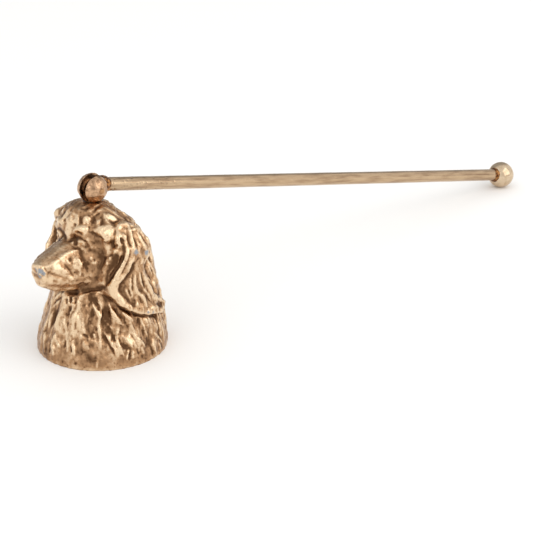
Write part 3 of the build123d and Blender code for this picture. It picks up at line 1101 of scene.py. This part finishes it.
        # Patches that are wiped bright have ragged edges
        ragged = self.ragged_mm.over(clay.places)[:, None]
        rim = 1 - smooth_step(clay.places[:, 2], self.rim_band_mm, self.rim_band_mm + 0.9)
        # The rubs paint shade into hollows, undersides and the top, and paint highlights where the
        # casting faces the lamps, over the real patina
        rubbed_and_painted_light = self.rim_tone * rim + self.felt(clay, PATINA_AND_PAINTED_LIGHT, 1.0, ragged)
        return np.clip(self.even_tone + recess + rubbed_and_painted_light, *self.tones)

    def worn(self, clay: Clay) -> np.ndarray:
        """Tell how far the gilding has worn through.

        Args:
            clay: The clay.

        Returns:
            A share for each corner, from 0 to 1.
        """
        surface = clay.surface()
        result = np.zeros(len(clay.places))
        ragged = 1 + self.ragged_share.over(clay.places)
        for pixel, reach in WORN_SPOTS:
            for place in self.cast((pixel,), surface):
                gap = np.linalg.norm(clay.places - place, axis=1) * ragged
                result = np.maximum(result, 1 - smooth_step(gap, 0.75 * reach, 1.15 * reach))
        return result

    def evened(self, rough: bpy.types.Mesh, rounds: int) -> tuple[Clay, np.ndarray]:
        """Make even clay of a shape and soften it.

        Args:
            rough: The shape; it is removed.
            rounds: How many times it is softened.

        Returns:
            The clay, and how freely each corner may be worked.
        """
        clay = Clay(even_mesh("gilt_dog_head", rough, self.grain_mm))
        free = self.free_share(clay.places)
        clay.soften(rounds, free)
        return clay, free

    def build(self) -> None:
        """Model the broad forms and the locks, then the details on a fresh mesh, and finish it."""
        clay, free = self.evened(merged_copy("dog_head_cup"), self.rounds[0])
        clay.push(self.swellings(clay.places) * free)
        clay.ease(self.eye_rounds, self.felt(clay, (self.eye,)) * free)
        for strokes, pressure in BROAD_WORK:
            clay.push(self.felt(clay, strokes, pressure) * free)
        clay.push(self.hair(clay.places) * free)
        clay.write()
        clay, free = self.evened(clay.mesh, self.rounds[1])
        for strokes, pressure in FINE_WORK:
            clay.push(self.felt(clay, strokes, pressure) * free)
        # The hollows that brown lies in are measured before the skin roughens them
        recess = sum(clay.hollowness(rounds) * tone
                     for rounds, tone in (self.fine_tone, self.broad_tone))
        clay.push((self.uneven.over(clay.places) + self.pits.over(clay.places)) * free)
        clay.places[:, 2] = np.maximum(clay.places[:, 2], 0)
        outside = (free > 0) | (clay.places[:, 2] > self.crown_mm)
        # The stored recess value is the patina with the rubs' painted shade and painted highlights
        # in it
        clay.store("recess", np.where(outside, self.patina(clay, recess), self.inside_tone))
        clay.store("worn", self.worn(clay))
        clay.store("hairy", self.hairy(clay.places))
        clay.write()
        new_piece(clay.mesh, GiltCasting().make(), "cup", "cast_gilt", "dog_head_cup")


class Metal:
    """A metal's material in the making: a finish adds its nodes to it."""

    def __init__(self, name: str) -> None:
        """Start a bare metal.

        Args:
            name: The material's name.
        """
        self.material = bpy.data.materials.new(name)
        self.material.use_nodes = True
        self.tree = self.material.node_tree
        self.shader = self.tree.nodes["Principled BSDF"]
        self.shader.inputs["Metallic"].default_value = 1.0
        self.place = add_node(self.tree, "ShaderNodeTexCoord").outputs["Object"]

    def feed(self, name: str, source: Socket) -> None:
        """Lead a value to one of the shader's own sockets."""
        self.tree.links.new(source, self.shader.inputs[name])

    def stored(self, name: str) -> Socket:
        """Read a value that the mesh keeps for each corner."""
        return add_node(self.tree, "ShaderNodeAttribute", {"attribute_name": name}).outputs["Fac"]

    def stretched(self, settings: dict) -> Socket:
        """Give the object's own place, turned and stretched by the Mapping node's settings."""
        node = add_node(self.tree, "ShaderNodeMapping", settings, {"Vector": self.place})
        return node.outputs["Vector"]

    def noise(self, size_mm: float, detail: float, roughness: float = 0.5,
              place: Socket | None = None) -> Socket:
        """Lay noise over the object.

        Args:
            size_mm: The size of its grain.
            detail: How many finer layers it has.
            roughness: How strong they are.
            place: What it is laid over; by default the object's own place.

        Returns:
            Its value.
        """
        settings = {"Scale": 1 / (size_mm * MM), "Detail": detail, "Roughness": roughness}
        links = {"Vector": self.place if place is None else place}
        return add_node(self.tree, "ShaderNodeTexNoise", settings, links).outputs["Fac"]

    def remap(self, source: Socket, seen: Range, given: Range) -> Socket:
        """Stretch a value from one range to another.

        Args:
            source: The value.
            seen: Where it begins and ends; what lies outside is cut off.
            given: What it becomes there.

        Returns:
            The stretched value.
        """
        settings = {"From Min": seen[0], "From Max": seen[1],
                    "To Min": given[0], "To Max": given[1]}
        return add_node(self.tree, "ShaderNodeMapRange", settings, {"Value": source}).outputs[0]

    def reckon(self, operation: str, *sources: Socket) -> Socket:
        """Reckon with values, in the order that the operation takes them."""
        links = dict(enumerate(sources))
        return add_node(self.tree, "ShaderNodeMath", {"operation": operation}, links).outputs[0]

    def ramp(self, level: Socket, *stops: tuple[float, str]) -> Socket:
        """Colour a value along a ramp.

        Args:
            level: The value.
            stops: The ramp's places, from low to high, each with its sRGB hex colour.

        Returns:
            The colour.
        """
        node = add_node(self.tree, "ShaderNodeValToRGB", None, {"Fac": level})
        elements = node.color_ramp.elements
        for element, (place, colour) in ((elements[0], stops[0]), (elements[1], stops[-1])):
            element.position, element.color = place, linear(colour)
        for place, colour in stops[1:-1]:
            elements.new(place).color = linear(colour)
        return node.outputs["Color"]

    def blend(self, share: Socket, *colours: Socket | str) -> Socket:
        """Blend from a first colour to a second.

        Args:
            share: The second colour's share.
            colours: Both colours, each a source or an sRGB hex colour.

        Returns:
            The blended colour.
        """
        settings, links = {"data_type": "RGBA"}, {MIX_SHARE: share}
        for number, colour in zip((MIX_FIRST, MIX_SECOND), colours):
            if isinstance(colour, str):
                settings[number] = linear(colour)
            else:
                links[number] = colour
        return add_node(self.tree, "ShaderNodeMix", settings, links).outputs[MIX_RESULT]

    def bump(self, height: Socket, strength: float, depth_mm: float) -> None:
        """Let a value raise the surface in the light.

        Args:
            height: The value.
            strength: How strongly it shows.
            depth_mm: How high it stands where it is 1.
        """
        settings = {"Strength": strength, "Distance": depth_mm * MM}
        node = add_node(self.tree, "ShaderNodeBump", settings, {"Height": height})
        self.feed("Normal", node.outputs["Normal"])


@dataclass(frozen=True)
class GiltCasting:
    """Zinc alloy, die-cast and gilt, with a brown patina that was wiped off the high places, and
    painted shade and painted highlights over it.
    """

    dark: str = "5e422c"
    middle: str = "b48c67"
    pale: str = "e9cca8"
    bare: str = "9a9ca0"
    cloud_mm: float = 2.2
    cloud_tone: float = 0.12
    freckle_mm: float = 0.8
    freckle_tone: float = 0.30
    hair_mm: float = 0.7
    hair_tone: float = 0.11
    grit_mm: float = 0.5
    roughness: Range = (0.20, 0.38)

    def make(self) -> bpy.types.Material:
        """Make the finish.

        Returns:
            Its material.
        """
        metal = Metal("gilt_zinc_casting")
        # The patina drifts from paler to browner over a lock or two
        clouds = metal.noise(self.cloud_mm, 5.0)
        drift = metal.remap(clouds, (0.3, 0.7), (-self.cloud_tone, self.cloud_tone))
        # Small brown freckles where patina stayed in the pores of the casting
        pores = metal.noise(self.freckle_mm, 2.0, 0.6)
        freckles = metal.remap(pores, (0.54, 0.72), (0.0, self.freckle_tone))
        # Hair lines run up and down, drawn coarser than the engraver's so that they show
        combed = metal.stretched({"Scale": (1.0, 1.0, 0.2)})
        hairs, hairy = metal.noise(self.hair_mm, 2.0, place=combed), metal.stored("hairy")
        streaks = metal.remap(hairs, (0.35, 0.65), (-self.hair_tone, self.hair_tone))
        # Brown lies in the recesses and the gilding shines on the edges of the locks; the stored
        # recess value also holds painted shade and painted highlights
        level = metal.reckon("MULTIPLY_ADD", streaks, hairy, metal.stored("recess"))
        level = metal.reckon("ADD", metal.reckon("ADD", level, drift), freckles)
        patina = metal.ramp(level, (0.16, self.pale), (0.52, self.middle), (0.92, self.dark))
        # Bare grey zinc shows where the gilding has worn through
        metal.feed("Base Color", metal.blend(metal.stored("worn"), patina, self.bare))
        metal.feed("Roughness", metal.remap(level, (0.2, 0.9), self.roughness))
        # The cast skin is finely gritty, drawn a little coarser than it is so that it shows
        grit = metal.noise(self.grit_mm, 3.0, 0.65)
        metal.bump(metal.reckon("MULTIPLY_ADD", hairs, hairy, grit), 0.8, 0.13)
        return metal.material


@dataclass(frozen=True)
class SatinBrass:
    """Turned and drawn brass gone satin with handling: soft streaks and small darker freckles.

    Attributes:
        name: The material's name.
        pale: The brass where it is handled.
        dark: The brass where it has gone brown.
        roughness: How rough it is where it is pale and where it is dark.
        freckle_mm: The freckles' width.
        streak: How many times longer than wide they are.
        slope: How far they are tilted to run down the rod.
        oxide_and_slot_shade: The brown of old corrosion and wax that stays where no hand reaches,
            as in the rod's pits, and the painted shade in the knuckle's slot.
    """

    name: str
    pale: str
    dark: str
    roughness: Range
    freckle_mm: float
    streak: float = 1.0
    slope: float = 0.0
    oxide_and_slot_shade: str = "6b5748"

    def make(self) -> bpy.types.Material:
        """Make the finish.

        Returns:
            Its material.
        """
        metal = Metal(self.name)
        drawn = metal.stretched({"vector_type": "TEXTURE", "Rotation": (self.slope, 0.0, 0.0),
                                 "Scale": (1.0, self.streak, 1.0)})
        clouds = metal.noise(self.freckle_mm, 4.0, place=drawn)
        freckles = metal.remap(clouds, (0.42, 0.78), (0.0, 1.0))
        brass = metal.blend(freckles, self.pale, self.dark)
        # Painted shade: the stored value darkens the knuckle's slot, as well as the rod's pits with
        # old corrosion
        metal.feed("Base Color", metal.blend(metal.stored("pit_oxide_and_slot_shade"), brass, self.oxide_and_slot_shade))
        metal.feed("Roughness", metal.remap(clouds, (0.0, 1.0), self.roughness))
        metal.bump(clouds, 0.15, 0.05)
        return metal.material


@dataclass(frozen=True)
class CopperBraze:
    """Brazing alloy melted in with a torch: copper-brown, lumpy, with dark flux in its pits."""

    pale: str = "b9834f"
    dark: str = "4a2a1a"
    lump_mm: float = 0.8
    roughness: Range = (0.55, 0.30)

    def make(self) -> bpy.types.Material:
        """Make the finish.

        Returns:
            Its material.
        """
        metal = Metal("copper_braze")
        lumps = metal.noise(self.lump_mm, 3.0)
        metal.feed("Base Color", metal.ramp(lumps, (0.38, self.dark), (0.62, self.pale)))
        metal.feed("Roughness", metal.remap(lumps, (0.0, 1.0), self.roughness))
        metal.bump(lumps, 0.4, 0.12)
        return metal.material


@dataclass
class Handle:
    """The handle: slotted knuckle, rivet, rod, end ball and the braze at both ends of the rod.

    Attributes:
        rod_rise_mm: How far the rod's line passes above the hinge.
        rod_radius_mm: The rod's radius.
        slot_floor_mm: How far from the hinge the slot's floor lies, where the rod begins.
        socket_mm: How deep the rod goes into the end ball.
        knuckle_grain_mm: The size of the knuckle's squares.
        braze_grain_mm: The size of the braze's squares.
        round_segments: The flats round the rod and the end ball.
        ball_bands: The bands of the end ball, from pole to pole.
        filed_mm: What the file took off the knuckle.
        skin_mm: How far below the knuckle's surface its filed skin begins, and is full.
        seat_mm: How far from the pin's middle the file begins to work, and works fully.
        slot_shade_mm: How far below the knuckle's surface the slot's painted shade is full, and
            ends.
        slot_light_mm: How far towards the slot's open side the painted shade begins to lift, and is
            gone, as light comes in from the top.
        dents: The file's dents.
        nicks: Its finer ones.
        fine_mm: How far from its foot the rod's stations lie close together, for the pits.
        station_mm: Their distance.
        far_stations: How many there are beyond.
        pitting: The pits' pattern.
        pit_values: The pattern's values where a pit begins, and where it is full.
        pitted_mm: The stretch of the rod, from its foot, over which the pits fade out.
        pit_mm: How deep the pits are.
        waves: The drawn rod's unevenness.
        ripple: The end ball's.
    """

    rod_rise_mm: float = 1.05
    rod_radius_mm: float = 2.0
    slot_floor_mm: float = 3.1
    socket_mm: float = 1.0
    knuckle_grain_mm: float = 0.13
    braze_grain_mm: float = 0.10
    round_segments: int = 64
    ball_bands: int = 48
    filed_mm: float = 0.03
    skin_mm: Range = (0.35, 0.10)
    seat_mm: Range = (0.9, 1.6)
    slot_shade_mm: Range = (0.6, 0.2)
    slot_light_mm: Range = (-1.2, 0.2)
    dents: Grain = Grain((1.5, 1.5, 1.5), 5.3, 0.07)
    nicks: Grain = Grain((0.6, 0.6, 0.6), 8.1, 0.03)
    fine_mm: float = 30.0
    station_mm: float = 0.22
    far_stations: int = 220
    pitting: Grain = Grain((0.7, 0.7, 0.7), 91.4)
    pit_values: Range = (0.55, 0.85)
    pitted_mm: Range = (14, 45)
    pit_mm: float = 0.14
    waves: Grain = Grain((3.0, 9.0, 3.0), 19.6, 0.02)
    ripple: Grain = Grain((2.5, 2.5, 2.5), 33.8, 0.015)
    pivot: Vector = field(init=False)
    end: Vector = field(init=False)
    foot: Vector = field(init=False)
    along: Vector = field(init=False)
    knuckle_radius_mm: float = field(init=False)
    end_radius_mm: float = field(init=False)

    def __post_init__(self) -> None:
        """Take the hinge and both balls from the frame, in millimetres, and lay the rod's line."""
        self.pivot = Vector(HINGE_M) / MM
        low, high = (Vector(corner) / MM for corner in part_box("end_ball"))
        self.end = (low + high) / 2
        self.end_radius_mm = (high.x - low.x) / 2
        low, high = (Vector(corner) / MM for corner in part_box("knuckle_ball"))
        self.knuckle_radius_mm = (high.x - low.x) / 2
        sight = self.end - self.pivot
        lean = math.asin(self.rod_rise_mm / sight.length)
        self.along = (Matrix.Rotation(-lean, 3, "X") @ sight).normalized()
        self.foot = self.pivot + self.rise() * self.rod_rise_mm

    def rise(self) -> Vector:
        """Give the direction square to the rod, upwards."""
        return self.along.cross(Vector((-1, 0, 0)))

    def turned(self, name: str, profile: list[tuple[float, float]]) -> Clay:
        """Turn a profile round the rod's line, as on a lathe.

        Args:
            name: The mesh's name.
            profile: Distances along the line from the rod's foot, and radii, in millimetres.

        Returns:
            The turned shape.
        """
        shape = bmesh.new()
        corners = [shape.verts.new((self.foot + self.along * far + self.rise() * radius) * MM)
                   for far, radius in profile]
        edges = [shape.edges.new(pair) for pair in zip(corners, corners[1:])]
        bmesh.ops.spin(shape, geom=corners + edges, cent=self.foot * MM, axis=self.along,
                       angle=math.tau, steps=self.round_segments, use_merge=True)
        bmesh.ops.remove_doubles(shape, verts=shape.verts, dist=MERGE_M)
        bmesh.ops.recalc_face_normals(shape, faces=shape.faces)
        return Clay(to_mesh(shape, name))

    def knuckle(self) -> None:
        """Model the slotted ball, a little uneven from the file, with painted shade in its slot."""
        rough = merged_copy("knuckle_ball")
        clay = Clay(even_mesh("slotted_knuckle", rough, self.knuckle_grain_mm))
        clay.soften(3, np.ones(len(clay.places)))
        ways = clay.places - np.array(self.pivot)
        apart = np.linalg.norm(ways, axis=1)
        skin, clear_of_slot_shade = (smooth_step(apart, *(self.knuckle_radius_mm - depth for depth in depths))
                          for depths in (self.skin_mm, self.slot_shade_mm))
        # The file left the slot and the rivet's seat alone
        filed = smooth_step(np.hypot(ways[:, 1], ways[:, 2]), *self.seat_mm)
        dents = self.dents.over(clay.places) + self.nicks.over(clay.places) - self.filed_mm
        clay.push(dents * skin * filed)
        # Painted shade: the slot is dark in front and below, and paler towards the top where light
        # comes in
        lit_towards_top = smooth_step(ways @ np.array((0.0, 0.8, 0.6)), *self.slot_light_mm)
        clay.store("pit_oxide_and_slot_shade", (1 - clear_of_slot_shade) * (1 - 0.6 * lit_towards_top))
        clay.write()
        brass = SatinBrass("filed_brass_knuckle", "cba582", "6a4c35", (0.18, 0.32), 1.0)
        new_piece(clay.mesh, brass.make(), "handle", "brass_ball", "knuckle_ball")

    def rivet(self) -> None:
        """Give the carried-over pin its filed finish."""
        pin = frame["nodes"]["hinge_pin"]
        pin.data.materials.clear()
        brass = SatinBrass("filed_rivet", "b98d63", "7a5a40", (0.25, 0.40), 0.6)
        pin.data.materials.append(brass.make())
        LOG.info("hinge_pin: dressed")

    def rod(self) -> None:
        """Turn the long rod and roughen its drawn skin with small pits near the knuckle."""
        start = self.slot_floor_mm
        stop = (self.end - self.foot).length - self.end_radius_mm + self.socket_mm
        stations = np.concatenate((np.arange(start, self.fine_mm, self.station_mm),
                                   np.linspace(self.fine_mm, stop, self.far_stations)))
        wall = [(far, self.rod_radius_mm) for far in stations]
        clay = self.turned("drawn_rod", [(start, 0.0), *wall, (stop, 0.0)])
        far = (clay.places - np.array(self.foot)) @ np.array(self.along)
        pitted = smooth_step(self.pitting.over(clay.places), *self.pit_values)
        pitted *= 1 - smooth_step(far, *self.pitted_mm)
        clay.push(self.waves.over(clay.places) - pitted * self.pit_mm)
        clay.store("pit_oxide_and_slot_shade", pitted * 0.5)
        clay.write()
        brass = SatinBrass("drawn_brass_rod", "c6aa89", "93755a", (0.18, 0.28), 0.8, 10.0,
                           math.atan2(self.along.z, self.along.y))
        new_piece(clay.mesh, brass.make(), "handle", "brass_rod", "handle_rod")

    def end_ball(self) -> None:
        """Turn the plain end ball, bright and almost even."""
        middle = (self.end - self.foot).length
        tilts = [math.pi * band / self.ball_bands for band in range(self.ball_bands + 1)]
        profile = [(middle - self.end_radius_mm * math.cos(tilt),
                    self.end_radius_mm * math.sin(tilt)) for tilt in tilts]
        clay = self.turned("turned_end_ball", profile)
        clay.push(self.ripple.over(clay.places))
        clay.store("pit_oxide_and_slot_shade", np.zeros(len(clay.places)))
        clay.write()
        brass = SatinBrass("turned_brass_ball", "d9c3a6", "b89c7c", (0.14, 0.20), 2.0)
        new_piece(clay.mesh, brass.make(), "handle", "brass_ball", "end_ball")

    def braze(self, name: str, node: str, seed: float) -> None:
        """Make one bead of braze lumpy, over a copy of its CAD ring.

        Args:
            name: The piece's name.
            node: The CAD node that it stands for.
            seed: The lumps' pattern.
        """
        clay = Clay(even_mesh(name, merged_copy(node), self.braze_grain_mm))
        clay.soften(4, np.ones(len(clay.places)))
        clay.push(Grain((1.3, 1.3, 1.3), seed, 0.14).over(clay.places) + 0.03)
        clay.write()
        new_piece(clay.mesh, CopperBraze().make(), "handle", "braze", node)

    def build(self) -> None:
        """Build the handle's pieces in order."""
        self.knuckle()
        self.rivet()
        self.rod()
        self.end_ball()
        self.braze("knuckle_braze_bead", "knuckle_braze", 47.5)
        self.braze("end_braze_bead", "end_ball_braze", 52.9)


@dataclass(frozen=True)
class SoftBox:
    """A square soft box that faces the snuffer.

    Attributes:
        name: Its name.
        way: The direction from the snuffer to it.
        far_m: Its distance.
        size_m: The length of its side.
        power_w: Its power.
    """

    name: str
    way: Place
    far_m: float
    size_m: float
    power_w: float

    def hang(self, aim: Vector) -> None:
        """Hang it in the scene.

        Args:
            aim: The point that it faces, in metres.
        """
        data = bpy.data.lights.new(self.name, "AREA")
        data.size, data.energy = self.size_m, self.power_w
        lamp = add_object(self.name, data)
        lamp.location = aim + Vector(self.way).normalized() * self.far_m
        lamp.rotation_mode = "QUATERNION"
        lamp.rotation_quaternion = (-Vector(self.way)).to_track_quat("-Z", "Y")


@dataclass
class Studio:
    """Pale floor, one large soft box to the camera's right, a small fill and white surroundings.

    Attributes:
        floor_size_m: The length of the floor's side.
        floor_colour: The floor's white.
        aim_mm: What the soft boxes face.
        boxes: The soft boxes.
        dim_way: The direction of the wall that the metal mirrors dimmer.
        dim_between: How nearly a mirrored ray points that way where the wall begins to dim, and
            where it is at its dimmest.
        dim_light: The room's light before and after.
    """

    floor_size_m: float = 4.0
    floor_colour: str = "f6f5f3"
    aim_mm: Place = (0.0, 20.0, 25.0)
    boxes: tuple[SoftBox, ...] = (
        SoftBox("right_soft_box", (0.78, 0.31, 0.53), 0.9, 0.9, 2.7),
        SoftBox("front_fill", (0.25, -0.80, 0.55), 0.9, 0.5, 0.85),
    )
    dim_way: Place = (-0.80, 0.42, 0.43)
    dim_between: Range = (0.55, 0.90)
    dim_light: Range = (0.95, 0.42)

    def floor(self) -> None:
        """Lay the white floor under the snuffer."""
        shape = bmesh.new()
        bmesh.ops.create_grid(shape, x_segments=1, y_segments=1, size=self.floor_size_m / 2)
        mesh = to_mesh(shape, "pale_floor")
        floor = add_object("pale_floor", mesh)
        material = bpy.data.materials.new("matt_white_paper")
        material.use_nodes = True
        shader = material.node_tree.nodes["Principled BSDF"]
        shader.inputs["Base Color"].default_value = linear(self.floor_colour)
        shader.inputs["Roughness"].default_value = 0.9
        mesh.materials.append(material)

    def surroundings(self) -> None:
        """Make the world white, and dimmer to the back left in what the metal mirrors."""
        world = bpy.data.worlds.new("studio_white")
        bpy.context.scene.world = world
        world.use_nodes = True
        tree = world.node_tree
        tree.nodes.clear()
        path = add_node(tree, "ShaderNodeLightPath")
        way = add_node(tree, "ShaderNodeTexCoord")
        dimmer = add_node(tree, "ShaderNodeVectorMath",
                          {"operation": "DOT_PRODUCT", 1: self.dim_way},
                          {0: way.outputs["Generated"]})
        room = add_node(tree, "ShaderNodeMapRange",
                        {"interpolation_type": "SMOOTHSTEP",
                         "From Min": self.dim_between[0], "From Max": self.dim_between[1],
                         "To Min": self.dim_light[0], "To Max": self.dim_light[1]},
                        {"Value": dimmer.outputs["Value"]})
        white = add_node(tree, "ShaderNodeBackground",
                         {"Color": linear("ffffff"), "Strength": 1.0})
        mirrored = add_node(tree, "ShaderNodeBackground", {"Color": linear("ffffff")},
                            {"Strength": room.outputs["Result"]})
        mixed = add_node(tree, "ShaderNodeMixShader", None,
                         {0: path.outputs["Is Glossy Ray"], 1: white.outputs[0],
                          2: mirrored.outputs[0]})
        add_node(tree, "ShaderNodeOutputWorld", None, {"Surface": mixed.outputs[0]})

    def build(self) -> None:
        """Set up the whole studio."""
        self.floor()
        for box in self.boxes:
            box.hang(Vector(self.aim_mm) * MM)
        self.surroundings()
        bpy.context.scene.view_settings.view_transform = "Standard"
        LOG.info("studio: floor, %d soft boxes, white surroundings", len(self.boxes))


def main() -> None:
    """Build the snuffer in order: camera, cup, handle, studio."""
    logging.basicConfig(level=logging.INFO, format="%(message)s")
    camera = ShotCamera()
    camera.build()
    DogHeadCup(camera).build()
    Handle().build()
    Studio().build()


if __name__ == "__main__":
    main()
